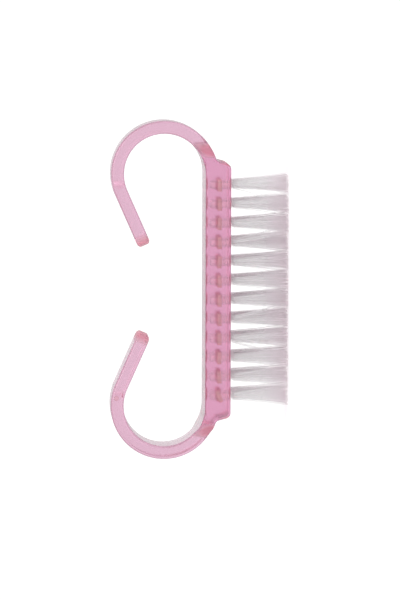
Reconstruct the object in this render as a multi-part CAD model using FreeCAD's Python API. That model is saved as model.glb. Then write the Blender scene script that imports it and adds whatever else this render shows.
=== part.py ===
import FreeCAD, Part
import math
import os

from FreeCAD import Vector

# Nail brush with two hooked handles.
# One clear pink moulding is a bar with a hook curling back from each end, thickened into a block on
# its other side. The block has blind holes, and each hole holds a tuft of nylon bristles, folded in
# half over a short piece of wire that is pressed across the hole.
# The brush stands on its bristle tips: X runs along the bar, Y across it, and Z up from the tips
# to the hooks. All lengths are in millimetres and all angles in degrees.

# Block
block_length = 48.4
block_thickness = 4.9
block_width = 16.0
block_end_slope = 15.0
block_corner_round = 1.1
block_root_round = 1.0

# Hooks, in side view; the overhang is how far a hook reaches past the block's end
hook_overhang = 8.3
hook_inner_radius = 7.75
hook_turn = 204.0
ribbon_thickness = 2.5
leg_length = 11.0
tip_round = 0.75

# Hook width and the corners of its tip, seen square to the leg
hook_width = 10.0
tip_corner_round = 2.0
# Shoulders, S-shaped as seen from above, where the wide block gives way to the narrower hooks
shoulder_reach = 2.7
shoulder_slope = 68.0
shoulder_round = 1.2
edge_break = 0.35

# Holes for the tufts, laid out between a margin at the block's ends and one along its sides
row_count = 12
column_count = 4
end_margin = 3.96
side_margin = 2.0
hole_diameter = 1.6
hole_floor = 0.9
# Holes and tufts are round in the real brush; they repeat so often that each has this many flats
round_sides = 12

# Tufts
bristle_length = 11.1
tuft_clearance = 0.05
tuft_tip_gap = 0.38
flute_depth = 0.55
fold_clearance = 0.6
fold_height = 0.85
fold_round = 0.4

# Wire anchors
anchor_height = 0.8
anchor_thickness = 0.3
anchor_bite = 0.35
anchor_clearance = 0.02

# How far round a hook the block's side view is drawn, past its shoulder
wide_turn = 62.0
# How far a cutting tool runs past the face that it opens
overrun = 0.5
# How closely an edge has to lie to the place where it is looked for
match_distance = 0.05

# Heights above the bristle tips
face_height = bristle_length
back_height = face_height + block_thickness
hook_centre_height = back_height + hook_inner_radius
hole_end_height = back_height - hole_floor
fold_top_height = hole_end_height - fold_clearance
anchor_top_height = fold_top_height - fold_height

# Places along the bar
hook_outer_radius = hook_inner_radius + ribbon_thickness
hook_centre_x = block_length / 2 + hook_overhang - hook_outer_radius
shoulder_x = block_length / 2 + shoulder_reach

# Angles on a hook's arc, from the way that points away from the middle of the brush
arc_start = math.radians(-90)
arc_end = arc_start + math.radians(hook_turn)
wide_end = arc_start + math.radians(wide_turn)
end_slope = math.radians(block_end_slope)
side_slope = math.radians(shoulder_slope)

# Spacing and sizes of the tufts
row_pitch = (block_length - 2 * end_margin) / (row_count - 1)
column_pitch = (block_width - 2 * side_margin) / (column_count - 1)
hole_radius = hole_diameter / 2
tuft_radius = hole_radius - tuft_clearance
tip_radius = (min(row_pitch, column_pitch) - tuft_tip_gap) / 2
anchor_length = hole_diameter + 2 * anchor_bite


def line(start, end):
    return Part.LineSegment(start, end).toShape()


def arc(start, middle, end):
    return Part.Arc(start, middle, end).toShape()


def on_hook(side, radius, angle):
    """Point beside a hook's centre; side is 1 for the +X hook and -1 for the other."""
    x = hook_centre_x + radius * math.cos(angle)
    z = hook_centre_height + radius * math.sin(angle)
    return Vector(side * x, 0, z)


def hook_arc(side, radius, start, end):
    """Arc about a hook's centre, between two angles."""
    middle = (start + end) / 2
    return arc(on_hook(side, radius, start), on_hook(side, radius, middle), on_hook(side, radius, end))


def rounded_corner(before, corner, after, radius):
    """Start, middle and end of the arc that rounds a corner between two straight sides."""
    to_before = (before - corner).normalize()
    to_after = (after - corner).normalize()
    half_angle = to_before.getAngle(to_after) / 2
    setback = radius / math.tan(half_angle)
    inward = (to_before + to_after).normalize()
    centre = corner + inward * (radius / math.sin(half_angle))
    return corner + to_before * setback, centre - inward * radius, corner + to_after * setback


def extruded(edges, along):
    """Solid of a closed flat outline, extruded along a vector."""
    return Part.Face(Part.Wire(Part.__sortEdges__(edges))).extrude(along)


def prism(edges, width):
    """Solid of a closed side-view outline, centred on the brush's middle plane."""
    return extruded(edges, Vector(0, width, 0)).translated(Vector(0, -width / 2, 0))


def hook_outline(side):
    """One hook of the ribbon: its arc, its straight leg and its rounded tip."""
    along_leg = Vector(-side * math.sin(arc_end), 0, math.cos(arc_end))
    inner_start = on_hook(side, hook_inner_radius, arc_end)
    outer_start = on_hook(side, hook_outer_radius, arc_end)
    inner_tip = inner_start + along_leg * leg_length
    outer_tip = outer_start + along_leg * leg_length
    inner_round = rounded_corner(inner_start, inner_tip, outer_tip, tip_round)
    outer_round = rounded_corner(inner_tip, outer_tip, outer_start, tip_round)
    return [
        hook_arc(side, hook_inner_radius, arc_start, arc_end),
        line(inner_start, inner_round[0]),
        arc(*inner_round),
        line(inner_round[2], outer_round[0]),
        arc(*outer_round),
        line(outer_round[2], outer_start),
        hook_arc(side, hook_outer_radius, arc_end, arc_start),
    ]


def tip_corner(side, across):
    """Tool that rounds one corner of a hook's tip; across is 1 or -1, for the corner's side of the brush."""
    along_leg = Vector(-side * math.sin(arc_end), 0, math.cos(arc_end))
    outward = Vector(side * math.cos(arc_end), 0, math.sin(arc_end))
    sideways = Vector(0, across, 0)
    corner = on_hook(side, hook_inner_radius - overrun, arc_end) + along_leg * leg_length + sideways * (hook_width / 2)
    on_side = corner - along_leg * tip_corner_round
    on_end = corner - sideways * tip_corner_round
    beyond = corner + (along_leg + sideways) * overrun
    edges = [
        arc(*rounded_corner(on_side, corner, on_end, tip_corner_round)),
        line(on_end, on_end + along_leg * overrun),
        line(on_end + along_leg * overrun, beyond),
        line(beyond, on_side + sideways * overrun),
        line(on_side + sideways * overrun, on_side),
    ]
    return extruded(edges, outward * (ribbon_thickness + 2 * overrun))


def make_ribbon():
    """The curved strip that makes both hooks and the back of the bar."""
    edges = hook_outline(1) + hook_outline(-1)
    for radius in (hook_inner_radius, hook_outer_radius):
        edges.append(line(on_hook(-1, radius, arc_start), on_hook(1, radius, arc_start)))
    corners = [tip_corner(side, across) for side in (1, -1) for across in (1, -1)]
    return prism(edges, hook_width).cut(Part.makeCompound(corners))


def root_round_centre(side, outward, upward):
    """Centre of the round that joins the block's sloping end to the underside of the hook."""
    start = Vector(side * block_length / 2, 0, face_height) + outward * block_root_round
    offset = start - on_hook(side, 0, 0)
    reach = hook_outer_radius + block_root_round
    along = offset.dot(upward)
    climb = -along - math.sqrt(along ** 2 - offset.dot(offset) + reach ** 2)
    return start + upward * climb


def block_outline(side):
    """One end of the block: inside arc, cut across the hook, underside of the hook, end and corner."""
    outward = Vector(side * math.cos(end_slope), 0, -math.sin(end_slope))
    upward = Vector(side * math.sin(end_slope), 0, math.cos(end_slope))
    root_centre = root_round_centre(side, outward, upward)
    hook_centre = on_hook(side, 0, 0)
    to_root = (root_centre - hook_centre).normalize()
    root_angle = math.atan2(to_root.z, side * to_root.x)
    root_middle = root_centre - (to_root + outward).normalize() * block_root_round
    on_ribbon = hook_centre + to_root * hook_outer_radius
    on_end = root_centre - outward * block_root_round
    face_middle = Vector(0, 0, face_height)
    corner = Vector(side * block_length / 2, 0, face_height)
    corner_round = rounded_corner(face_middle, corner, on_end, block_corner_round)
    return [
        hook_arc(side, hook_inner_radius, arc_start, wide_end),
        line(on_hook(side, hook_inner_radius, wide_end), on_hook(side, hook_outer_radius, wide_end)),
        hook_arc(side, hook_outer_radius, wide_end, root_angle),
        arc(on_ribbon, root_middle, on_end),
        line(on_end, corner_round[2]),
        arc(corner_round[2], corner_round[1], corner_round[0]),
        line(corner_round[0], face_middle),
    ]


def shoulder_curve(side, across):
    """One shoulder from above: round, slope and round, and the hook's side on to past its end."""
    run = shoulder_round * math.sin(side_slope)
    drop = shoulder_round * (1 - math.cos(side_slope))
    middle_y = (block_width + hook_width) / 4
    half_fall = middle_y - hook_width / 2 - drop
    half_slope = half_fall / math.tan(side_slope)
    chord = Vector(math.sin(side_slope / 2), math.cos(side_slope / 2), 0) * shoulder_round
    slope_start = Vector(shoulder_x - half_slope, middle_y + half_fall, 0)
    slope_end = Vector(shoulder_x + half_slope, middle_y - half_fall, 0)
    wide_start = Vector(slope_start.x - run, block_width / 2, 0)
    narrow_start = Vector(slope_end.x + run, hook_width / 2, 0)
    wide_centre = wide_start - Vector(0, shoulder_round, 0)
    narrow_centre = narrow_start + Vector(0, shoulder_round, 0)
    past_end = Vector(hook_centre_x + hook_outer_radius + overrun, hook_width / 2, 0)
    places = [Vector(0, block_width / 2, 0), wide_start, wide_centre + chord, slope_start, slope_end,
              narrow_centre - chord, narrow_start, past_end, Vector(past_end.x, 0, 0)]
    places = [Vector(side * place.x, across * place.y, face_height - overrun) for place in places]
    return [
        line(places[0], places[1]),
        arc(places[1], places[2], places[3]),
        line(places[3], places[4]),
        arc(places[4], places[5], places[6]),
        line(places[6], places[7]),
        line(places[7], places[8]),
    ]


def make_block():
    """The wide part: bar, block and the first stretch of each hook, drawn in to the hook's width."""
    edges = block_outline(1) + block_outline(-1)
    edges.append(line(on_hook(-1, hook_inner_radius, arc_start), on_hook(1, hook_inner_radius, arc_start)))
    block = prism(edges, block_width)
    back_edges = [Vector(0, block_width / 2, back_height), Vector(0, -block_width / 2, back_height)]
    block = block.makeChamfer(edge_break, edges_at(block, back_edges))
    from_above = [edge for side in (1, -1) for across in (1, -1) for edge in shoulder_curve(side, across)]
    return block.common(extruded(from_above, Vector(0, 0, hook_centre_height - face_height + overrun)))


def edges_at(solid, places):
    """The solid's edges whose middles lie at the given places."""
    found = []
    for place in places:
        for edge in solid.Edges:
            if edge.CenterOfMass.distanceToPoint(place) < match_distance:
                found.append(edge)
                break
    return found


def make_solid_handle():
    """Block and ribbon as one moulding, before its holes."""
    return make_block().fuse(make_ribbon()).removeSplitter()


def tuft_places():
    """Row number, column number and place along and across the block of every tuft."""
    places = []
    for row in range(row_count):
        for column in range(column_count):
            x = (row - (row_count - 1) / 2) * row_pitch
            y = (column - (column_count - 1) / 2) * column_pitch
            places.append((row + 1, column + 1, Vector(x, y, 0)))
    return places


def anchor_block(clearance):
    """Rectangular wire anchor across a hole at the origin, grown by a clearance on every side."""
    length = anchor_length + 2 * clearance
    thickness = anchor_thickness + 2 * clearance
    height = anchor_height + 2 * clearance
    corner = Vector(-length / 2, -thickness / 2, anchor_top_height + clearance - height)
    return Part.makeBox(length, thickness, height, corner)


def round_section(radius, height, recess=0):
    """Corners of a level, flat-sided outline about the Z axis; every second one may be recessed."""
    corners = []
    for corner in range(round_sides):
        angle = math.radians(360 * corner / round_sides)
        reach = radius - recess * (corner % 2)
        corners.append(Vector(reach * math.cos(angle), reach * math.sin(angle), height))
    return corners


def flat_face(corners):
    return Part.Face(Part.makePolygon(corners + corners[:1]))


def side_faces(lower, upper):
    """Flat sides between two level sections of the same shape."""
    faces = []
    for corner in range(round_sides):
        after = (corner + 1) % round_sides
        faces.append(flat_face([lower[corner], lower[after], upper[after], upper[corner]]))
    return faces


def flute_faces(lower, upper):
    """Sides of the flutes that run out from a recessed section to a plain one, in mirrored triangles."""
    faces = []
    for valley in range(1, round_sides, 2):
        for ridge in (valley - 1, (valley + 1) % round_sides):
            faces.append(flat_face([lower[ridge], lower[valley], upper[valley]]))
            faces.append(flat_face([lower[ridge], upper[valley], upper[ridge]]))
    return faces


def closed_solid(faces):
    return Part.Solid(Part.Shell(faces))


def make_handle():
    """The whole moulding: each blind hole has two nicks, which the anchor bites into its wall."""
    mouth = round_section(hole_radius, face_height - overrun)
    end = round_section(hole_radius, hole_end_height)
    pin = closed_solid([flat_face(mouth), flat_face(end)] + side_faces(mouth, end))
    hole = pin.fuse(anchor_block(anchor_clearance))
    holes = [hole.translated(place) for row, column, place in tuft_places()]
    return make_solid_handle().cut(Part.makeCompound(holes))


def make_tuft():
    """Tuft at the origin: flat tips, a fluted fan up to the hole, and the fold over the anchor."""
    tips = round_section(tip_radius, 0, flute_depth)
    mouth = round_section(tuft_radius, face_height)
    fold_start = round_section(tuft_radius, fold_top_height - fold_round)
    fold_end = round_section(tuft_radius - fold_round, fold_top_height)
    faces = [flat_face(tips), flat_face(fold_end)] + flute_faces(tips, mouth)
    faces += side_faces(mouth, fold_start) + side_faces(fold_start, fold_end)
    return closed_solid(faces).cut(anchor_block(anchor_clearance))


def make_anchors():
    """All the wire anchors, as separate solids."""
    anchor = anchor_block(0)
    return Part.makeCompound([anchor.translated(place) for row, column, place in tuft_places()])


os.makedirs("parts", exist_ok=True)
make_handle().exportStep("parts/handle_body.step")
make_anchors().exportStep("parts/bristle_anchors.step")
tuft = make_tuft()
for row, column, place in tuft_places():
    tuft.translated(place).exportStep(f"parts/tuft_row_{row:02d}_column_{column}.step")
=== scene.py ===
import math
import random

import bmesh
import bpy
from mathutils import Matrix, Vector


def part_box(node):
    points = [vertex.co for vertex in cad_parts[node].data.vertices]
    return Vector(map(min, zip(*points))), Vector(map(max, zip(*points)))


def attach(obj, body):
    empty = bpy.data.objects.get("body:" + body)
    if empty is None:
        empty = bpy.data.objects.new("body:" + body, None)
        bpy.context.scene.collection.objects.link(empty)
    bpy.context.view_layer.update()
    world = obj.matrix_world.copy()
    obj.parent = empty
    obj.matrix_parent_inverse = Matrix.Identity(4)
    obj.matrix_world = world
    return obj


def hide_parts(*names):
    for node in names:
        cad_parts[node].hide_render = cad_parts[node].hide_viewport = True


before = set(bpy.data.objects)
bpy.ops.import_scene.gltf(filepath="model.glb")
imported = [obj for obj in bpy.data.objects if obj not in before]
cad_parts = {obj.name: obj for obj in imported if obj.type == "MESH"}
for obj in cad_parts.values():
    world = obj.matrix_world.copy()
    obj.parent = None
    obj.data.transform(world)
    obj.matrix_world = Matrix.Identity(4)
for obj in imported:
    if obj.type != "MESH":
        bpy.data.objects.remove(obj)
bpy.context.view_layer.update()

# Nail brush with two hooked handles, standing on its bristle tips. All lengths are in metres.
# The clear pink moulding is one piece; each hole in it holds a tuft of folded nylon filaments and
# the wire anchor that they are folded over.
MM = 0.001
handle_low, handle_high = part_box("handle_body")

# Two places are the same within this distance, and points are merged within the other one
NEARNESS = 0.01 * MM
MERGE_DISTANCE = 0.001 * MM

# Side view of the moulding, as the frame has it
FACE_HEIGHT = handle_low.z
BLOCK_LENGTH = 48.4 * MM
BLOCK_THICKNESS = 4.9 * MM
BLOCK_END_SLOPE = math.radians(15)
BLOCK_CORNER_ROUND = 1.1 * MM
BLOCK_CORNER_STEPS = 8
BLOCK_ROOT_ROUND = 1.0 * MM
BLOCK_ROOT_STEPS = 6
RIBBON_THICKNESS = 2.5 * MM
HOOK_INNER_RADIUS = 7.75 * MM
HOOK_TURN = math.radians(204)
ARC_STEP = math.radians(2.7)
LEG_LENGTH = 11.0 * MM
BACK_HEIGHT = FACE_HEIGHT + BLOCK_THICKNESS
HOOK_OUTER_RADIUS = HOOK_INNER_RADIUS + RIBBON_THICKNESS
HOOK_MIDDLE_RADIUS = HOOK_INNER_RADIUS + RIBBON_THICKNESS / 2
HOOK_CENTRE = Vector((handle_high.x - HOOK_OUTER_RADIUS, 0, BACK_HEIGHT + HOOK_INNER_RADIUS))
ALONG_LEG = Vector((math.cos(HOOK_TURN), 0, math.sin(HOOK_TURN)))

# Rounded tip of each hook, and how much of its corner round is still to go at each of its sections
TIP_ROUND = 0.75 * MM
TIP_CORNER_ROUND = 2.0 * MM
TIP_SECTION_SHARES = (0.75, 0.55, 0.375, 0.27, 0.18, 0.11, 0.05, 0.013)

# Widths, the S-shaped shoulder between them as seen from above, and the rounding of every long edge
BLOCK_WIDTH = 2 * handle_high.y
HOOK_WIDTH = 10.0 * MM
WIDTH_STEP = BLOCK_WIDTH / 2 - HOOK_WIDTH / 2
SHOULDER_PLACE = 26.9 * MM
SHOULDER_SLOPE = math.radians(68)
SHOULDER_ROUND = 1.2 * MM
SHOULDER_BEND = SHOULDER_ROUND * math.sin(SHOULDER_SLOPE)
SHOULDER_BEND_DROP = SHOULDER_ROUND * (1 - math.cos(SHOULDER_SLOPE))
SHOULDER_STRAIGHT = (WIDTH_STEP - 2 * SHOULDER_BEND_DROP) / math.tan(SHOULDER_SLOPE)
SHOULDER_END_TURN = math.radians(57)
SHOULDER_STEP = math.radians(1.5)
SHOULDER_ROWS = 7
SHOULDER_EDGE_TOLERANCE = 0.05 * MM
EDGE_ROUND = 0.5 * MM
EDGE_ROUND_STEPS = 5
ROUNDED_EDGE_ANGLE = math.radians(45)
FLAT_ANGLE = math.radians(0.5)
HANDLE_SHARP_ANGLE = math.radians(38)

# Holes, each as far in as the plastic behind it allows
HOLE_RADIUS = 0.8 * MM
HOLE_FLOOR = 0.9 * MM
HOLE_END_ROUND = 0.4 * MM
HOLE_END_STEPS = 4
HOLE_SIDES = 28
HOLE_END_HEIGHT = BACK_HEIGHT - HOLE_FLOOR
OVERRUN = 0.5 * MM

# Wire anchors across the holes
anchor_low, anchor_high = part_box("bristle_anchors")
ANCHOR_LENGTH = 2.3 * MM
ANCHOR_THICKNESS = 0.3 * MM
ANCHOR_HEIGHT = anchor_high.z - anchor_low.z
ANCHOR_MIDDLE = (anchor_high.z + anchor_low.z) / 2
ANCHOR_EDGE_ROUND = 0.07 * MM
ANCHOR_EDGE_STEPS = 3
ANCHOR_CLEARANCE = 0.02 * MM
ANCHOR_SHARP_ANGLE = math.radians(50)
ANCHOR_TILT = math.radians(2.5)
SKEWED_ANCHOR = (1, 1)
SKEWED_ANCHOR_TILT = math.radians(24)

# Mark of the gate on the side of one hook
GATE_PLACE = Vector((-20.75 * MM, -5.0 * MM, 32.9 * MM))
GATE_RADIUS = 0.5 * MM
GATE_DEPTH = 0.12 * MM
GATE_SIDES = 24
GATE_EDGE_ROUND = 0.8 * GATE_DEPTH
GATE_EDGE_STEPS = 2

# Tufts: every filament is folded over its anchor, so it has two legs
ROW_COUNT = 12
COLUMN_COUNT = 4
FILAMENT_RADIUS = 0.072 * MM
FILAMENT_SIDES = 5
LEG_STEPS = 3
FOLD_STEPS = 4
FOLD_DROP = 0.16 * MM

# How closely the filaments pack, with each row in the hollows of the one before, and how far their
# middles stay from the hole's wall, from the anchor and from the gap that closes again at the tips
FILAMENT_SPACING = 0.155 * MM
FILAMENT_ROW_SPACING = 0.87 * FILAMENT_SPACING
WALL_TO_FILAMENT = 1.3 * FILAMENT_RADIUS
ANCHOR_TO_FILAMENT = 1.2 * FILAMENT_RADIUS
GAP_TO_FILAMENT = 0.6 * FILAMENT_RADIUS

# How much wider a tuft is at its tips, and how evenly: below 1, more tips crowd together at its rim
TIP_FAN = 2.65
TIP_CROWDING = 0.8
TIP_SCATTER = 0.12 * MM
TIP_UNEVENNESS = 0.1 * MM
TUFT_LEAN = 0.12 * MM
END_ROW_LEAN = 0.15 * MM
BOW_SHARE = 0.06

# Wisps of filaments that have strayed towards the next tuft, and how far along the brush
STRAYS = {
    (12, 1): (-2.3 * MM, -1.2 * MM),
    (9, 1): (2.6 * MM, 2.1 * MM, 1.5 * MM),
    (8, 2): (-1.0 * MM,),
    (5, 1): (2.6 * MM, 2.0 * MM),
    (4, 1): (-2.6 * MM, -2.1 * MM),
    (2, 1): (1.0 * MM,),
}
STRAY_COUNT = 5
STRAY_REACH = 1.75 * MM
STRAY_SPREAD_SHARES = (0.93, 1.02)

# Matt faces of the mould, which also take a painted reddish shade: where they fade out at the tips and
# shoulders and on the block's ends, and how matt they are; a shoulder's patch is made stronger than 1 first,
# so that most of it is fully matt
MATT_FADE = 1.2 * MM
END_FADE = 0.3 * MM
GATE_MATTNESS = 0.6
GATE_REACH = 1.2 * GATE_RADIUS
SHOULDER_STRENGTH = 2
SHOULDER_MATT_DEPTH = RIBBON_THICKNESS / 1.5
HOLE_REACH = 1.3 * HOLE_RADIUS

# Least share of a face's normal that makes it face sideways, endways or down
SIDEWAYS_SHARE = 0.05
ENDWAYS_SHARE = 0.35
DOWNWARDS_SHARE = 0.9

# Finishes: the moulding's ripple and scuffs, the wire's rolling lines, and over what length the nylon
# turns clear below the holes and thins out towards the tips
RIPPLE_SIZE = 2.5 * MM
RIPPLE_DEPTH = 0.03 * MM
SCUFF_SIZE = 0.6 * MM
ROLLING_LINE_SIZE = 0.05 * MM
CLEARING_LENGTH = 0.8 * MM
THINNING_LENGTH = 5.5 * MM
WHITE = (1, 1, 1, 1)

# Camera: the photograph is 600 pixels high and shows 5.19 of them to a millimetre of the brush
IMAGE_HEIGHT = 600
PIXELS_PER_METRE = 5188
SENSOR = 36
VIEW_DISTANCE = 0.922
VIEW_TARGET = Vector((-2.18 * MM, 0, 16.69 * MM))
VIEW_BACK = Vector((0.0715, -1, 0.0446))
VIEW_ROLL = math.radians(0.17)

# Light
KEY_PLACE = (0.15, -0.6, 0.4)
KEY_SIZE = 0.4
KEY_POWER = 0.8
WORLD_LIGHT = 0.9
PANEL_LIGHT = 0.88
SEAM_LIGHT = 0.42
SIDE_LIGHT = (0.80, 0.72, 0.64, 1)
# Where the tent's side walls, its seam and its back panel meet, as the cosine from straight behind
SIDE_EDGE = 0.3
SEAM_EDGES = (0.45, 0.72)
BACK_EDGE = 0.92
FLOOR_SIZE = 40
CARD_WHITE = 0.86
FLOOR_LIFT = 0.35

random.seed(12)


def near(value, target, reach=NEARNESS):
    return abs(value - target) < reach


def clamp(value):
    return min(max(value, 0.0), 1.0)


def middle(element):
    places = [vertex.co for vertex in element.verts]
    return sum(places, Vector()) / len(places)


def deselect_all():
    for thing in bpy.context.selected_objects:
        thing.select_set(False)


def select_only(piece):
    deselect_all()
    piece.select_set(True)
    bpy.context.view_layer.objects.active = piece


def edit(piece):
    """Make this the one object that the next operators act on, in edit mode."""
    select_only(piece)
    bpy.ops.object.mode_set(mode="EDIT")


def leave_edit():
    bpy.ops.object.mode_set(mode="OBJECT")


def choose(kind, fits):
    """In edit mode, select only the edges or faces that fit."""
    bpy.ops.mesh.select_mode(type=kind)
    bpy.ops.mesh.select_all(action="DESELECT")
    mesh = bpy.context.object.data
    shape = bmesh.from_edit_mesh(mesh)
    for element in {"EDGE": shape.edges, "FACE": shape.faces}[kind]:
        if fits(element):
            element.select_set(True)
    shape.select_flush_mode()
    bmesh.update_edit_mesh(mesh)


def extrude(along):
    bpy.ops.mesh.extrude_region_move(TRANSFORM_OT_translate={"value": along})


def spin(centre, angle, steps):
    """Sweep the selection about a Y axis; a positive angle goes on from +X to +Z."""
    bpy.ops.mesh.spin(steps=steps, angle=angle, center=centre, axis=(0, 1, 0))


def finish_modifiers(piece):
    """Apply every modifier of a piece, in order."""
    select_only(piece)
    for name in [modifier.name for modifier in piece.modifiers]:
        bpy.ops.object.modifier_apply(modifier=name)


def cut(piece, tool):
    difference = piece.modifiers.new("cut", "BOOLEAN")
    difference.operation = "DIFFERENCE"
    difference.solver = "EXACT"
    difference.object = tool
    finish_modifiers(piece)
    bpy.data.objects.remove(tool)


def smooth(piece, angle):
    """Shade round surfaces smooth and flat ones flat, and keep the edges sharper than the angle."""
    select_only(piece)
    bpy.ops.object.shade_smooth_by_angle(angle=angle)
    weighted = piece.modifiers.new("flat faces", "WEIGHTED_NORMAL")
    weighted.keep_sharp = True
    finish_modifiers(piece)


def copies_of(piece, poses, name):
    """One object that holds a copy of a piece, with its own mesh, at every pose; the piece itself goes."""
    made = []
    for pose in poses:
        copy = bpy.data.objects.new(name, piece.data.copy())
        copy.data.transform(pose)
        bpy.context.collection.objects.link(copy)
        made.append(copy)
    bpy.data.objects.remove(piece)
    deselect_all()
    for copy in made:
        copy.select_set(True)
    bpy.context.view_layer.objects.active = made[0]
    bpy.ops.object.join()
    made[0].name = name
    return made[0]


def hook_point(radius, turn):
    """Point beside the +X hook's centre, after that turn from the bar."""
    return HOOK_CENTRE + Vector((radius * math.sin(turn), 0, -radius * math.cos(turn)))


LEG_START = hook_point(HOOK_MIDDLE_RADIUS, HOOK_TURN)
END_OUT = Vector((math.cos(BLOCK_END_SLOPE), 0, -math.sin(BLOCK_END_SLOPE)))
END_UP = Vector((math.sin(BLOCK_END_SLOPE), 0, math.cos(BLOCK_END_SLOPE)))
BLOCK_CORNER = Vector((BLOCK_LENGTH / 2, 0, FACE_HEIGHT))


def root_round():
    """Centre of the round between the block's end and the hook, and the turn where it meets the hook."""
    start = BLOCK_CORNER + END_OUT * BLOCK_ROOT_ROUND
    offset = start - HOOK_CENTRE
    reach = HOOK_OUTER_RADIUS + BLOCK_ROOT_ROUND
    along = offset.dot(END_UP)
    climb = -along - math.sqrt(along ** 2 - offset.length_squared + reach ** 2)
    centre = start + END_UP * climb
    to_root = centre - HOOK_CENTRE
    return centre, math.atan2(to_root.x, -to_root.z)


ROOT_CENTRE, ROOT_TURN = root_round()


def half_width(along):
    """Half of the moulding's width at that distance along the bar: block, S-shaped shoulder or hook."""
    from_middle = along - SHOULDER_PLACE
    reach = abs(from_middle) - SHOULDER_STRAIGHT / 2
    if reach >= SHOULDER_BEND:
        step_in = 0
    elif reach > 0:
        step_in = SHOULDER_ROUND - math.sqrt(SHOULDER_ROUND ** 2 - (SHOULDER_BEND - reach) ** 2)
    else:
        step_in = WIDTH_STEP / 2 - abs(from_middle) * math.tan(SHOULDER_SLOPE)
    return BLOCK_WIDTH / 2 - step_in if from_middle < 0 else HOOK_WIDTH / 2 + step_in


def shoulder_steepness(along):
    """1 on the straight middle of the shoulder's S shape, fading to 0 at both of its ends."""
    reach = abs(along - SHOULDER_PLACE) - SHOULDER_STRAIGHT / 2
    return clamp(1 - reach / SHOULDER_BEND)


def round_step_in(radius, distance):
    """How far a corner round has cut in, at that distance from the end that it meets."""
    return radius - math.sqrt(max(radius ** 2 - max(radius - distance, 0) ** 2, 0))


def sweep_ribbon():
    """The curved strip of the +X half: bar, hook and leg, swept at the hook's width from X = 0."""
    centre = Vector((0, 0, BACK_HEIGHT - RIBBON_THICKNESS / 2))
    bpy.ops.mesh.primitive_plane_add(size=1, location=centre, rotation=(0, math.pi / 2, 0))
    ribbon = bpy.context.object
    bpy.ops.object.transform_apply()
    edit(ribbon)
    bpy.ops.transform.resize(value=(1, HOOK_WIDTH, RIBBON_THICKNESS), center_override=centre)
    extrude((HOOK_CENTRE.x, 0, 0))
    turned = 0
    for turn, step in ((ROOT_TURN, ARC_STEP), (SHOULDER_END_TURN, SHOULDER_STEP), (HOOK_TURN, ARC_STEP)):
        spin(HOOK_CENTRE, turn - turned, round((turn - turned) / step))
        turned = turn
    extrude(ALONG_LEG * (LEG_LENGTH - TIP_CORNER_ROUND))
    sweep_tip()
    choose("FACE", lambda face: all(near(vertex.co.x, 0) for vertex in face.verts))
    bpy.ops.mesh.delete(type="FACE")
    return ribbon


def sweep_tip():
    """The leg's rounded tip, in sections that get narrower and thinner."""
    distance, width, thickness = TIP_CORNER_ROUND, HOOK_WIDTH, RIBBON_THICKNESS
    for share in TIP_SECTION_SHARES:
        next_distance = TIP_CORNER_ROUND * share
        extrude(ALONG_LEG * (distance - next_distance))
        next_width = HOOK_WIDTH - 2 * round_step_in(TIP_CORNER_ROUND, next_distance)
        next_thickness = RIBBON_THICKNESS - 2 * round_step_in(TIP_ROUND, next_distance)
        thin = next_thickness / thickness
        bpy.ops.transform.resize(value=(thin, next_width / width, thin),
                                 center_override=LEG_START + ALONG_LEG * (LEG_LENGTH - next_distance))
        distance, width, thickness = next_distance, next_width, next_thickness


def hidden_in_block(face):
    """True for the ribbon's underside, where the block lies over it."""
    from_hook = middle(face) - HOOK_CENTRE
    depth = from_hook.length if from_hook.x > 0 else -from_hook.z
    return near(depth, HOOK_OUTER_RADIUS) and math.atan2(from_hook.x, -from_hook.z) < ROOT_TURN


def signed_angle(start, end):
    """Angle between two directions in side view, positive from +X to +Z."""
    return math.atan2(start.x * end.z - start.z * end.x, start.x * end.x + start.z * end.z)


def sweep_block():
    """The block's sloping end and bristle face, swept from the ribbon's underside at the root round."""
    choose("FACE", hidden_in_block)
    bpy.ops.mesh.delete(type="FACE")
    root_edge = hook_point(HOOK_OUTER_RADIUS, ROOT_TURN)
    choose("EDGE", lambda edge: (middle(edge) - root_edge).length < NEARNESS)
    spin(ROOT_CENTRE, signed_angle(root_edge - ROOT_CENTRE, -END_OUT), BLOCK_ROOT_STEPS)
    end_top = ROOT_CENTRE - END_OUT * BLOCK_ROOT_ROUND
    corner_angle = math.pi / 2 - BLOCK_END_SLOPE
    setback = BLOCK_CORNER_ROUND * math.tan(corner_angle / 2)
    end_bottom = BLOCK_CORNER + END_UP * setback
    extrude(end_bottom - end_top)
    spin(end_bottom - END_OUT * BLOCK_CORNER_ROUND, -corner_angle, BLOCK_CORNER_STEPS)
    extrude((setback - BLOCK_LENGTH / 2, 0, 0))


def on_block_side(face):
    """True for a flat side face, up to where the hook leaves the block."""
    from_hook = middle(face) * Vector((math.copysign(1, middle(face).x), 0, 1)) - HOOK_CENTRE
    on_side = all(near(abs(vertex.co.y), HOOK_WIDTH / 2) for vertex in face.verts)
    return on_side and from_hook.z < 0 and math.atan2(from_hook.x, -from_hook.z) < ROOT_TURN


def across_shoulder(edge):
    """True for an edge that crosses the strip's side where the shoulder will be."""
    start, end = (vertex.co for vertex in edge.verts)
    on_side = near(abs(start.y), HOOK_WIDTH / 2) and near(abs(end.y), HOOK_WIDTH / 2)
    low = max(start.z, end.z) < HOOK_CENTRE.z and abs(middle(edge).x) > HOOK_CENTRE.x
    flat_thickness = RIBBON_THICKNESS - 2 * EDGE_ROUND
    return on_side and low and near((end - start).length, flat_thickness, SHOULDER_EDGE_TOLERANCE)


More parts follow.
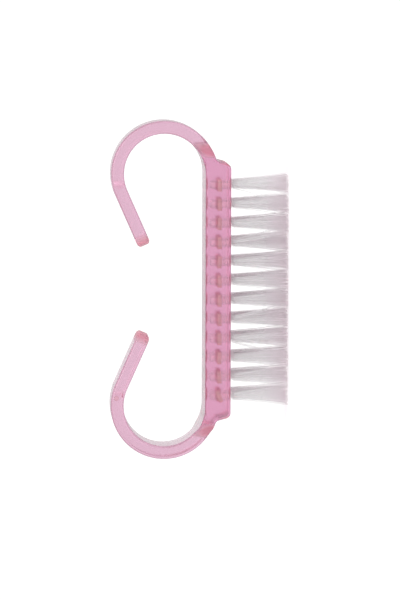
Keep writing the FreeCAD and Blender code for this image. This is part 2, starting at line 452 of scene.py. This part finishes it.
def draw_out_sides(handle):
    """Move the sides of the bar and the block out from the hook's width, as seen from above."""
    for side in (1, -1):
        group = handle.vertex_groups.new(name=f"side {side}")
        for vertex in handle.data.vertices:
            if vertex.co.y * side > 0 and vertex.co.z < HOOK_CENTRE.z:
                share = (half_width(abs(vertex.co.x)) - HOOK_WIDTH / 2) / WIDTH_STEP
                group.add([vertex.index], share, "REPLACE")
        move = handle.modifiers.new("draw out", "DISPLACE")
        move.direction = "Y"
        move.mid_level = 0
        move.strength = side * WIDTH_STEP
        move.vertex_group = group.name
    finish_modifiers(handle)
    handle.vertex_groups.clear()


def make_solid_handle():
    """The whole moulding before its holes: both halves, closed sides, rounded long edges and shoulders."""
    handle = sweep_ribbon()
    sweep_block()
    leave_edit()
    handle.name = "handle"
    mirror = handle.modifiers.new("mirror", "MIRROR")
    mirror.merge_threshold = MERGE_DISTANCE
    finish_modifiers(handle)
    edit(handle)
    for side in (1, -1):
        choose("EDGE", lambda edge: edge.is_boundary and near(middle(edge).y, side * HOOK_WIDTH / 2))
        bpy.ops.mesh.edge_face_add()
    choose("FACE", on_block_side)
    bpy.ops.mesh.dissolve_limited(angle_limit=FLAT_ANGLE)
    bpy.ops.mesh.select_all(action="SELECT")
    bpy.ops.mesh.normals_make_consistent(inside=False)
    choose("EDGE", lambda edge: edge.calc_face_angle(0) > ROUNDED_EDGE_ANGLE)
    bpy.ops.mesh.bevel(offset=EDGE_ROUND, segments=EDGE_ROUND_STEPS, affect="EDGES",
                       clamp_overlap=False, loop_slide=False)
    choose("EDGE", across_shoulder)
    bpy.ops.mesh.subdivide(number_cuts=SHOULDER_ROWS - 1)
    leave_edit()
    draw_out_sides(handle)
    return handle


def tuft_place(row, column):
    """Middle of a tuft's hole, on the plane that the brush stands on."""
    low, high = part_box(f"tuft_row_{row:02d}_column_{column}")
    return Vector(((low.x + high.x) / 2, (low.y + high.y) / 2, 0))


TUFTS = [(row, column) for row in range(1, ROW_COUNT + 1) for column in range(1, COLUMN_COUNT + 1)]


def make_hole_tool():
    """Pin that leaves one blind hole, with a rounded end, about the Z axis."""
    start = FACE_HEIGHT - OVERRUN
    bpy.ops.mesh.primitive_cylinder_add(vertices=HOLE_SIDES, radius=HOLE_RADIUS,
                                        depth=HOLE_END_HEIGHT - start,
                                        location=(0, 0, (HOLE_END_HEIGHT + start) / 2))
    pin = bpy.context.object
    bpy.ops.object.transform_apply()
    edit(pin)
    choose("EDGE", lambda edge: all(near(vertex.co.z, HOLE_END_HEIGHT) for vertex in edge.verts))
    bpy.ops.mesh.bevel(offset=HOLE_END_ROUND, segments=HOLE_END_STEPS, affect="EDGES", clamp_overlap=False)
    leave_edit()
    return pin


def make_anchor(growth):
    """Short piece of flat wire with rolled edges, centred at the origin and grown on every side."""
    bpy.ops.mesh.primitive_cube_add(size=1)
    anchor = bpy.context.object
    edit(anchor)
    size = (ANCHOR_LENGTH + 2 * growth, ANCHOR_THICKNESS + 2 * growth, ANCHOR_HEIGHT + 2 * growth)
    bpy.ops.transform.resize(value=size)
    choose("EDGE", lambda edge: near(middle(edge).x, 0))
    bpy.ops.mesh.bevel(offset=ANCHOR_EDGE_ROUND, segments=ANCHOR_EDGE_STEPS, affect="EDGES",
                       clamp_overlap=False)
    leave_edit()
    return anchor


def make_gate_mark():
    """Pin for the shallow round pit on the side of one hook, where the moulding was cut from its runner."""
    bpy.ops.mesh.primitive_cylinder_add(vertices=GATE_SIDES, radius=GATE_RADIUS, depth=2 * GATE_DEPTH,
                                        location=GATE_PLACE, rotation=(math.pi / 2, 0, 0))
    pin = bpy.context.object
    bpy.ops.object.transform_apply()
    edit(pin)
    bottom = GATE_PLACE.y + GATE_DEPTH
    choose("EDGE", lambda edge: all(near(vertex.co.y, bottom) for vertex in edge.verts))
    bpy.ops.mesh.bevel(offset=GATE_EDGE_ROUND, segments=GATE_EDGE_STEPS, affect="EDGES")
    leave_edit()
    return pin


def anchor_poses():
    """Where each anchor sits; none is pressed in quite level, and one went in badly skewed."""
    poses = []
    for row, column in TUFTS:
        tilt = random.uniform(-ANCHOR_TILT, ANCHOR_TILT)
        if (row, column) == SKEWED_ANCHOR:
            tilt = -SKEWED_ANCHOR_TILT
        place = tuft_place(row, column) + Vector((0, 0, ANCHOR_MIDDLE))
        poses.append(Matrix.Translation(place) @ Matrix.Rotation(tilt, 4, "Y"))
    return poses


def mattness_and_painted_shade(place, normal):
    """How matt a face is at one of its corners, and so how much painted reddish shade it takes: 1 on the
    mould's rough faces, 0 on its polished ones.
    """
    along = abs(place.x)
    if place.z > HOOK_CENTRE.z:
        from_gate = place - GATE_PLACE
        if from_gate.length < GATE_REACH and from_gate.y > NEARNESS:
            return GATE_MATTNESS
        from_tip = LEG_LENGTH - (Vector((along, 0, place.z)) - LEG_START).dot(ALONG_LEG)
        return clamp((TIP_CORNER_ROUND - from_tip) / MATT_FADE)
    if along > SHOULDER_PLACE - SHOULDER_ROUND - MATT_FADE:
        depth = (Vector((along, 0, place.z)) - HOOK_CENTRE).length - HOOK_INNER_RADIUS
        patch = SHOULDER_STRENGTH * shoulder_steepness(along) * clamp(depth / SHOULDER_MATT_DEPTH)
        return clamp(patch) if abs(normal.y) > SIDEWAYS_SHARE else 0.0
    if along > BLOCK_LENGTH / 2 - BLOCK_CORNER_ROUND:
        return clamp((place.z - FACE_HEIGHT) / END_FADE) if abs(normal.x) > ENDWAYS_SHARE else 0.0
    return 0.0


def on_hole_wall(place, normal, axes):
    """1 on the walls and ends of the holes, where the nylon is packed against them and the plastic takes
    painted pink shade, and 0 elsewhere.
    """
    on_bristle_face = place.z < FACE_HEIGHT + 2 * NEARNESS and abs(normal.z) > DOWNWARDS_SHARE
    nearest = min(math.hypot(place.x - axis.x, place.y - axis.y) for axis in axes)
    return float(nearest < HOLE_REACH and not on_bristle_face)


def mark_faces(handle):
    """Attributes that hold where the handle is matt and takes painted reddish shade, and where nylon is
    packed against it and the wall takes painted pink shade.
    """
    axes = [tuft_place(*tuft) for tuft in TUFTS]
    mesh = handle.data
    corners = [(mesh.vertices[vertex].co, face.normal) for face in mesh.polygons for vertex in face.vertices]
    matt_and_painted_shade = [mattness_and_painted_shade(place, normal) for place, normal in corners]
    packed = [on_hole_wall(place, normal, axes) for place, normal in corners]
    mesh.attributes.new("matt_and_painted_shade", "FLOAT", "CORNER").data.foreach_set("value", matt_and_painted_shade)
    mesh.attributes.new("packed", "FLOAT", "CORNER").data.foreach_set("value", packed)


def make_handle(poses):
    """The moulding with its blind holes, and the nicks that the anchors bit into their walls."""
    handle = make_solid_handle()
    holes = copies_of(make_hole_tool(), [Matrix.Translation(tuft_place(*tuft)) for tuft in TUFTS], "holes")
    cut(handle, holes)
    cut(handle, copies_of(make_anchor(ANCHOR_CLEARANCE), poses, "nicks"))
    cut(handle, make_gate_mark())
    mark_faces(handle)
    smooth(handle, HANDLE_SHARP_ANGLE)
    return handle


def leg_height(step):
    """Height of a filament leg's points: tip, halfway, the hole's mouth and the start of the fold."""
    return (0, FACE_HEIGHT / 2, FACE_HEIGHT, ANCHOR_MIDDLE + ANCHOR_HEIGHT / 2 - FOLD_DROP)[step]


def make_hairpin():
    """One filament folded in half, its legs a fold's width apart: a thin tube swept from tip to tip."""
    bpy.ops.mesh.primitive_circle_add(vertices=FILAMENT_SIDES, radius=FILAMENT_RADIUS,
                                      location=(0, -FILAMENT_SPACING, 0))
    hairpin = bpy.context.object
    bpy.ops.object.transform_apply()
    edit(hairpin)
    bpy.ops.mesh.select_all(action="SELECT")
    for step in range(LEG_STEPS):
        extrude((0, 0, leg_height(step + 1) - leg_height(step)))
    bpy.ops.mesh.spin(steps=FOLD_STEPS, angle=math.pi, center=(0, 0, leg_height(LEG_STEPS)), axis=(1, 0, 0))
    for step in reversed(range(LEG_STEPS)):
        extrude((0, 0, leg_height(step) - leg_height(step + 1)))
    choose("EDGE", lambda edge: edge.is_boundary)
    bpy.ops.mesh.edge_face_add()
    leave_edit()
    return hairpin


def hairpin_centres(legs, tips):
    """Middles of a hairpin's rings, from one tip over the fold to the other."""
    middle_height, mouth_height, fold_height = (leg_height(step) for step in (1, 2, 3))
    sides = []
    for leg, tip in zip(legs, tips):
        halfway = Vector(((tip.x + leg.x) / 2, (tip.y + leg.y) / 2, middle_height))
        bow = (tip - leg) * BOW_SHARE
        sides.append([tip, halfway - bow * Vector((1, 1, 0)),
                      Vector((leg.x, leg.y, mouth_height)), Vector((leg.x, leg.y, fold_height))])
    fold = []
    for step in range(1, FOLD_STEPS):
        angle = math.pi * step / FOLD_STEPS
        share = (1 - math.cos(angle)) / 2
        reach = (legs[1] - legs[0]).length / 2
        fold.append(legs[0].lerp(legs[1], share) + Vector((0, 0, fold_height + reach * math.sin(angle))))
    return sides[0] + fold + sides[1][::-1]


def fold_legs():
    """Pairs of places in a hole for the two legs of each filament, packed side by side round the anchor."""
    pairs = []
    reach = HOLE_RADIUS - WALL_TO_FILAMENT
    across = ANCHOR_THICKNESS / 2 + ANCHOR_TO_FILAMENT
    while across < reach:
        half_row = math.sqrt(reach ** 2 - across ** 2)
        count = int(2 * half_row / FILAMENT_SPACING) + 1
        for number in range(count):
            along = (number - (count - 1) / 2) * FILAMENT_SPACING
            pairs.append((Vector((along, -across, 0)), Vector((along, across, 0))))
        across += FILAMENT_ROW_SPACING
    return pairs


def leg_tip(leg):
    """Where a leg ends: the gap that the anchor holds open closes again as the tuft fans out."""
    reach = HOLE_RADIUS - FILAMENT_RADIUS
    gap = ANCHOR_THICKNESS / 2 + GAP_TO_FILAMENT
    across = math.copysign((abs(leg.y) - gap) * reach / (reach - gap), leg.y)
    closed = Vector((leg.x, across, 0))
    spread = TIP_FAN * (closed.length / reach) ** (TIP_CROWDING - 1)
    scatter_x, scatter_y = random.gauss(0, TIP_SCATTER), random.gauss(0, TIP_SCATTER)
    return closed * spread + Vector((scatter_x, scatter_y, random.uniform(0, TIP_UNEVENNESS)))


def stray_order(tip, side):
    """Highest for the tip nearest to the camera and to the next tuft; below all for one that has strayed."""
    return tip.x * side - tip.y if abs(tip.x) < STRAY_REACH else -1


def move_strays(tips, offsets):
    """Move some of a tuft's outer tips along the brush, a few for each wisp."""
    for offset in offsets * STRAY_COUNT:
        side = math.copysign(1, offset)
        stray = max((tip for both in tips for tip in both), key=lambda tip: stray_order(tip, side))
        stray.x += offset * random.uniform(*STRAY_SPREAD_SHARES)


def make_tuft(row, column, hairpin):
    """A bundle of hairpins in one hole, fanned out below it and trimmed flat."""
    place = tuft_place(row, column)
    lean = Vector((random.gauss(0, TUFT_LEAN), random.gauss(0, TUFT_LEAN), 0))
    lean.x += {1: -END_ROW_LEAN, ROW_COUNT: END_ROW_LEAN}.get(row, 0)
    pairs = fold_legs()
    tips = [[leg_tip(leg) + lean for leg in legs] for legs in pairs]
    move_strays(tips, STRAYS.get((row, column), ()))
    corners = [vertex.co.copy() for vertex in hairpin.data.vertices]
    ring_middles = [sum(corners[start:start + FILAMENT_SIDES], Vector()) / FILAMENT_SIDES
                    for start in range(0, len(corners), FILAMENT_SIDES)]
    sides = [tuple(face.vertices) for face in hairpin.data.polygons]
    points, faces, shades = [], [], []
    for legs, ends in zip(pairs, tips):
        centres = hairpin_centres(legs, ends)
        first = len(points)
        for number, corner in enumerate(corners):
            ring = number // FILAMENT_SIDES
            points.append(corner - ring_middles[ring] + centres[ring] + place)
        faces += [tuple(first + number for number in side) for side in sides]
        shades += [random.random()] * len(corners)
    mesh = bpy.data.meshes.new(f"tuft_row_{row:02d}_column_{column}_filaments")
    mesh.from_pydata(points, [], faces)
    mesh.attributes.new("filament", "FLOAT", "POINT").data.foreach_set("value", shades)
    mesh.shade_smooth()
    tuft = bpy.data.objects.new(mesh.name, mesh)
    bpy.context.collection.objects.link(tuft)
    return tuft


def linear(hex_colour):
    """sRGB hex colour as linear RGBA."""
    channels = [int(hex_colour[start:start + 2], 16) / 255 for start in (1, 3, 5)]
    return tuple(c / 12.92 if c <= 0.04045 else ((c + 0.055) / 1.055) ** 2.4 for c in channels) + (1,)


def add_node(tree, kind, inputs=None, **settings):
    """Add a node, with its settings and its inputs: a value, or the socket that it is linked from."""
    node = tree.nodes.new(kind)
    for name, value in settings.items():
        setattr(node, name, value)
    for name, value in (inputs or {}).items():
        if isinstance(value, bpy.types.NodeSocket):
            tree.links.new(value, node.inputs[name])
        else:
            node.inputs[name].default_value = value
    return node


def new_material(name):
    material = bpy.data.materials.new(name)
    material.use_nodes = True
    material.node_tree.nodes.clear()
    return material, material.node_tree


def clear_pink_polystyrene():
    """Clear pink polystyrene, moulded: satin and slightly rippled, with matt patches where the mould was
    rough, which are painted reddish as painted shade for light bent through the thick plastic.
    Where nylon is packed against a hole's wall, little light bends or is lost, and the wall is painted
    pinker as painted shade."""
    material, tree = new_material("clear_pink_polystyrene")
    place = add_node(tree, "ShaderNodeTexCoord").outputs["Object"]
    matt_and_painted_shade = add_node(tree, "ShaderNodeAttribute", attribute_name="matt_and_painted_shade").outputs["Fac"]
    packed = add_node(tree, "ShaderNodeAttribute", attribute_name="packed").outputs["Fac"]
    ripple = add_node(tree, "ShaderNodeTexNoise", {"Vector": place, "Scale": 1 / RIPPLE_SIZE, "Detail": 2.0})
    bump = add_node(tree, "ShaderNodeBump", {
        "Height": ripple.outputs["Fac"], "Distance": RIPPLE_DEPTH, "Strength": 0.4})
    scuffs = add_node(tree, "ShaderNodeTexNoise", {"Vector": place, "Scale": 1 / SCUFF_SIZE, "Detail": 4.0})
    satin = add_node(tree, "ShaderNodeMapRange", {
        "Value": scuffs.outputs["Fac"], "To Min": 0.18, "To Max": 0.24})
    rough = add_node(tree, "ShaderNodeMapRange", {
        "Value": matt_and_painted_shade, "From Max": 0.3, "To Min": satin.outputs["Result"], "To Max": 0.7})
    clear = add_node(tree, "ShaderNodeMapRange", {"Value": matt_and_painted_shade, "To Min": 1.0, "To Max": 0.6})
    bare = add_node(tree, "ShaderNodeMapRange", {"Value": packed, "To Min": 1.0, "To Max": 0.09})
    alpha = add_node(tree, "ShaderNodeMath", {0: bare.outputs["Result"], 1: clear.outputs["Result"]},
                     operation="MULTIPLY")
    # painted reddish shade on the matt faces, standing in for light bent through the thick pink plastic
    painted_reddish_shade = add_node(tree, "ShaderNodeMix", {"Factor": matt_and_painted_shade, "A": WHITE, "B": linear("#fba4ac")},
                       data_type="RGBA")
    # painted pink shade on the hole walls, standing in for the reddish light that reaches the packed tufts
    # through the plastic
    painted_shade_colour = add_node(tree, "ShaderNodeMix", {
        "Factor": packed, "A": painted_reddish_shade.outputs["Result"], "B": linear("#ffbccb")},
        data_type="RGBA", blend_type="MULTIPLY")
    plastic = add_node(tree, "ShaderNodeBsdfPrincipled", {
        "Base Color": painted_shade_colour.outputs["Result"], "Roughness": rough.outputs["Result"], "IOR": 1.59,
        "Transmission Weight": clear.outputs["Result"], "Normal": bump.outputs["Normal"],
        "Alpha": alpha.outputs[0]})
    pink = add_node(tree, "ShaderNodeVolumeAbsorption", {"Color": (0.86, 0.017, 0.483, 1), "Density": 57.0})
    add_node(tree, "ShaderNodeOutputMaterial", {
        "Surface": plastic.outputs["BSDF"], "Volume": pink.outputs["Volume"]})
    return material


def nylon_filament():
    """Drawn nylon, milky and see-through, and uneven from filament to filament. Its tips and its folds are
    painted pink, as painted light for the pink light that the handle passes on to them, and in the holes it
    is nearly clear."""
    material, tree = new_material("nylon_filament")
    place = add_node(tree, "ShaderNodeTexCoord").outputs["Object"]
    height = add_node(tree, "ShaderNodeSeparateXYZ", {"Vector": place}).outputs["Z"]
    shade = add_node(tree, "ShaderNodeAttribute", attribute_name="filament").outputs["Fac"]
    along = add_node(tree, "ShaderNodeMapRange", {"Value": height, "From Max": HOLE_END_HEIGHT})
    colour_with_painted_pink = add_node(tree, "ShaderNodeValToRGB", {"Fac": along.outputs["Result"]})
    # white nylon, with painted pink light at the tips and, from the hole's mouth up, in the holes
    first, last = colour_with_painted_pink.color_ramp.elements
    first.position, first.color = 0.0, linear("#fff0f7")
    last.position, last.color = 1.0, linear("#f6a2aa")
    for share, colour in ((0.12, "#fff6fb"), (0.3, "#fefdfe"), (0.72, "#fefefe"), (0.76, "#f6a2aa")):
        colour_with_painted_pink.color_ramp.elements.new(share).color = linear(colour)
    uneven = add_node(tree, "ShaderNodeMapRange", {"Value": shade, "To Min": 0.97, "To Max": 1.0})
    body = add_node(tree, "ShaderNodeVectorMath", {
        0: colour_with_painted_pink.outputs["Color"], "Scale": uneven.outputs["Result"]}, operation="SCALE")
    milky = add_node(tree, "ShaderNodeMapRange", {
        "Value": height, "From Min": FACE_HEIGHT - CLEARING_LENGTH, "From Max": FACE_HEIGHT,
        "To Min": 0.19, "To Max": 0.002})
    thinned = add_node(tree, "ShaderNodeMapRange", {
        "Value": height, "From Max": THINNING_LENGTH, "To Min": 0.6, "To Max": 1.0})
    streaks = add_node(tree, "ShaderNodeMapRange", {"Value": shade, "To Min": 0.5, "To Max": 1.5})
    even = add_node(tree, "ShaderNodeMath", {0: milky.outputs["Result"], 1: thinned.outputs["Result"]},
                    operation="MULTIPLY")
    alpha = add_node(tree, "ShaderNodeMath", {0: even.outputs[0], 1: streaks.outputs["Result"]},
                     operation="MULTIPLY")
    nylon = add_node(tree, "ShaderNodeBsdfPrincipled", {
        "Base Color": body.outputs["Vector"], "Roughness": 0.35, "IOR": 1.53, "Alpha": alpha.outputs[0]})
    add_node(tree, "ShaderNodeOutputMaterial", {"Surface": nylon.outputs["BSDF"]})
    return material


def cut_steel_wire():
    """Flat-rolled steel wire with a thin wash of copper, and the fine lengthwise lines of rolling."""
    material, tree = new_material("cut_steel_wire")
    place = add_node(tree, "ShaderNodeTexCoord").outputs["Object"]
    lengthwise = add_node(tree, "ShaderNodeMapping", {"Vector": place, "Scale": (0.1, 1, 1)})
    lines = add_node(tree, "ShaderNodeTexNoise", {
        "Vector": lengthwise.outputs["Vector"], "Scale": 1 / ROLLING_LINE_SIZE})
    rough = add_node(tree, "ShaderNodeMapRange", {
        "Value": lines.outputs["Fac"], "To Min": 0.25, "To Max": 0.5})
    steel = add_node(tree, "ShaderNodeBsdfPrincipled", {
        "Base Color": linear("#e8b6c0"), "Metallic": 1.0, "Roughness": rough.outputs["Result"]})
    add_node(tree, "ShaderNodeOutputMaterial", {"Surface": steel.outputs["BSDF"]})
    return material


def dress(piece, material, slot, *nodes):
    """Give a piece its material, and put it on the brush in place of its CAD nodes; the slot is not used."""
    piece.data.materials.clear()
    piece.data.materials.append(material)
    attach(piece, "root")
    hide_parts(*nodes)


def seen_directly(tree):
    """1 for what the camera sees straight on, in a reflection or through clear plastic, and 0 for light."""
    path = add_node(tree, "ShaderNodeLightPath").outputs
    unscattered = add_node(tree, "ShaderNodeMath", {0: path["Diffuse Depth"], 1: 0.5}, operation="LESS_THAN")
    seen = path["Is Camera Ray"]
    for kind in ("Is Glossy Ray", "Is Transmission Ray"):
        seen = add_node(tree, "ShaderNodeMath", {0: seen, 1: path[kind]}, operation="MAXIMUM").outputs[0]
    both = add_node(tree, "ShaderNodeMath", {0: seen, 1: unscattered.outputs[0]}, operation="MULTIPLY")
    return both.outputs[0]


def make_world():
    """A light tent: a white panel behind the brush, a darker seam round it, and walls that light it."""
    world = bpy.data.worlds.new("light_tent")
    bpy.context.scene.world = world
    world.use_nodes = True
    tree = world.node_tree
    tree.nodes.clear()
    way = add_node(tree, "ShaderNodeTexCoord").outputs["Generated"]
    behind = add_node(tree, "ShaderNodeSeparateXYZ", {"Vector": way}).outputs["Y"]
    panels = add_node(tree, "ShaderNodeValToRGB", {"Fac": behind})
    side, back = panels.color_ramp.elements
    side.position, side.color = SIDE_EDGE, SIDE_LIGHT
    back.position, back.color = BACK_EDGE, (PANEL_LIGHT, PANEL_LIGHT, PANEL_LIGHT, 1)
    for place in SEAM_EDGES:
        panels.color_ramp.elements.new(place).color = (SEAM_LIGHT, SEAM_LIGHT, SEAM_LIGHT, 1)
    path = add_node(tree, "ShaderNodeLightPath")
    colour = add_node(tree, "ShaderNodeMix", {
        "Factor": path.outputs["Is Camera Ray"], "A": panels.outputs["Color"], "B": WHITE}, data_type="RGBA")
    light = add_node(tree, "ShaderNodeBackground", {"Color": WHITE, "Strength": WORLD_LIGHT})
    shown = add_node(tree, "ShaderNodeBackground", {"Color": colour.outputs["Result"], "Strength": 1.0})
    mixed = add_node(tree, "ShaderNodeMixShader", {
        0: seen_directly(tree), 1: light.outputs[0], 2: shown.outputs[0]})
    add_node(tree, "ShaderNodeOutputWorld", {"Surface": mixed.outputs[0]})


def make_floor():
    """Matt white card that the brush stands on; it keeps a soft shadow."""
    bpy.ops.mesh.primitive_plane_add(size=FLOOR_SIZE)
    floor = bpy.context.object
    floor.name = "floor"
    material, tree = new_material("white_card")
    in_plastic = add_node(tree, "ShaderNodeMath", {0: seen_directly(tree), 1: PANEL_LIGHT - CARD_WHITE},
                          operation="MULTIPLY")
    path = add_node(tree, "ShaderNodeLightPath")
    lift = add_node(tree, "ShaderNodeMapRange", {
        "Value": path.outputs["Is Camera Ray"], "To Min": in_plastic.outputs[0], "To Max": FLOOR_LIFT})
    card = add_node(tree, "ShaderNodeBsdfPrincipled", {
        "Base Color": (CARD_WHITE, CARD_WHITE, CARD_WHITE, 1), "Roughness": 0.9, "Specular IOR Level": 0.0,
        "Emission Color": WHITE, "Emission Strength": lift.outputs["Result"]})
    add_node(tree, "ShaderNodeOutputMaterial", {"Surface": card.outputs["BSDF"]})
    floor.data.materials.append(material)


def make_key_light():
    """Square softbox that faces the middle of the brush."""
    lamp = bpy.data.objects.new("key_light", bpy.data.lights.new("key_light", "AREA"))
    lamp.data.size = KEY_SIZE
    lamp.data.energy = KEY_POWER
    lamp.location = KEY_PLACE
    lamp.rotation_euler = (Vector(KEY_PLACE) - VIEW_TARGET).to_track_quat("Z", "Y").to_euler()
    bpy.context.collection.objects.link(lamp)


def make_camera():
    """The photograph's view: from the side, with the brush turned so that its bar stands upright."""
    camera = bpy.data.objects.new("camera", bpy.data.cameras.new("camera"))
    bpy.context.collection.objects.link(camera)
    bpy.context.scene.camera = camera
    back = VIEW_BACK.normalized()
    up = Matrix.Rotation(VIEW_ROLL, 3, back) @ (Vector((1, 0, 0)) - back * back.x).normalized()
    camera.matrix_world = Matrix((up.cross(back), up, back)).transposed().to_4x4()
    camera.location = VIEW_TARGET + back * VIEW_DISTANCE
    camera.data.sensor_width = SENSOR
    camera.data.lens = SENSOR * VIEW_DISTANCE * PIXELS_PER_METRE / IMAGE_HEIGHT
    camera.data.clip_start = VIEW_DISTANCE / 100
    camera.data.clip_end = FLOOR_SIZE


make_camera()
make_world()
make_floor()
make_key_light()

poses = anchor_poses()
plastic, nylon, steel = clear_pink_polystyrene(), nylon_filament(), cut_steel_wire()
handle = make_handle(poses)
dress(handle, plastic, "clear_pink_styrene", "handle_body")
anchors = copies_of(make_anchor(0), poses, "anchor_wires")
smooth(anchors, ANCHOR_SHARP_ANGLE)
dress(anchors, steel, "anchor_wire", "bristle_anchors")
hairpin = make_hairpin()
for row, column in TUFTS:
    tuft = make_tuft(row, column, hairpin)
    dress(tuft, nylon, "nylon_bristle", f"tuft_row_{row:02d}_column_{column}")
bpy.data.objects.remove(hairpin)

scene = bpy.context.scene
scene.view_settings.view_transform = "Standard"
scene.cycles.max_bounces = 32
scene.cycles.transmission_bounces = 32
scene.cycles.glossy_bounces = 12
scene.cycles.diffuse_bounces = 8
scene.cycles.transparent_max_bounces = 128
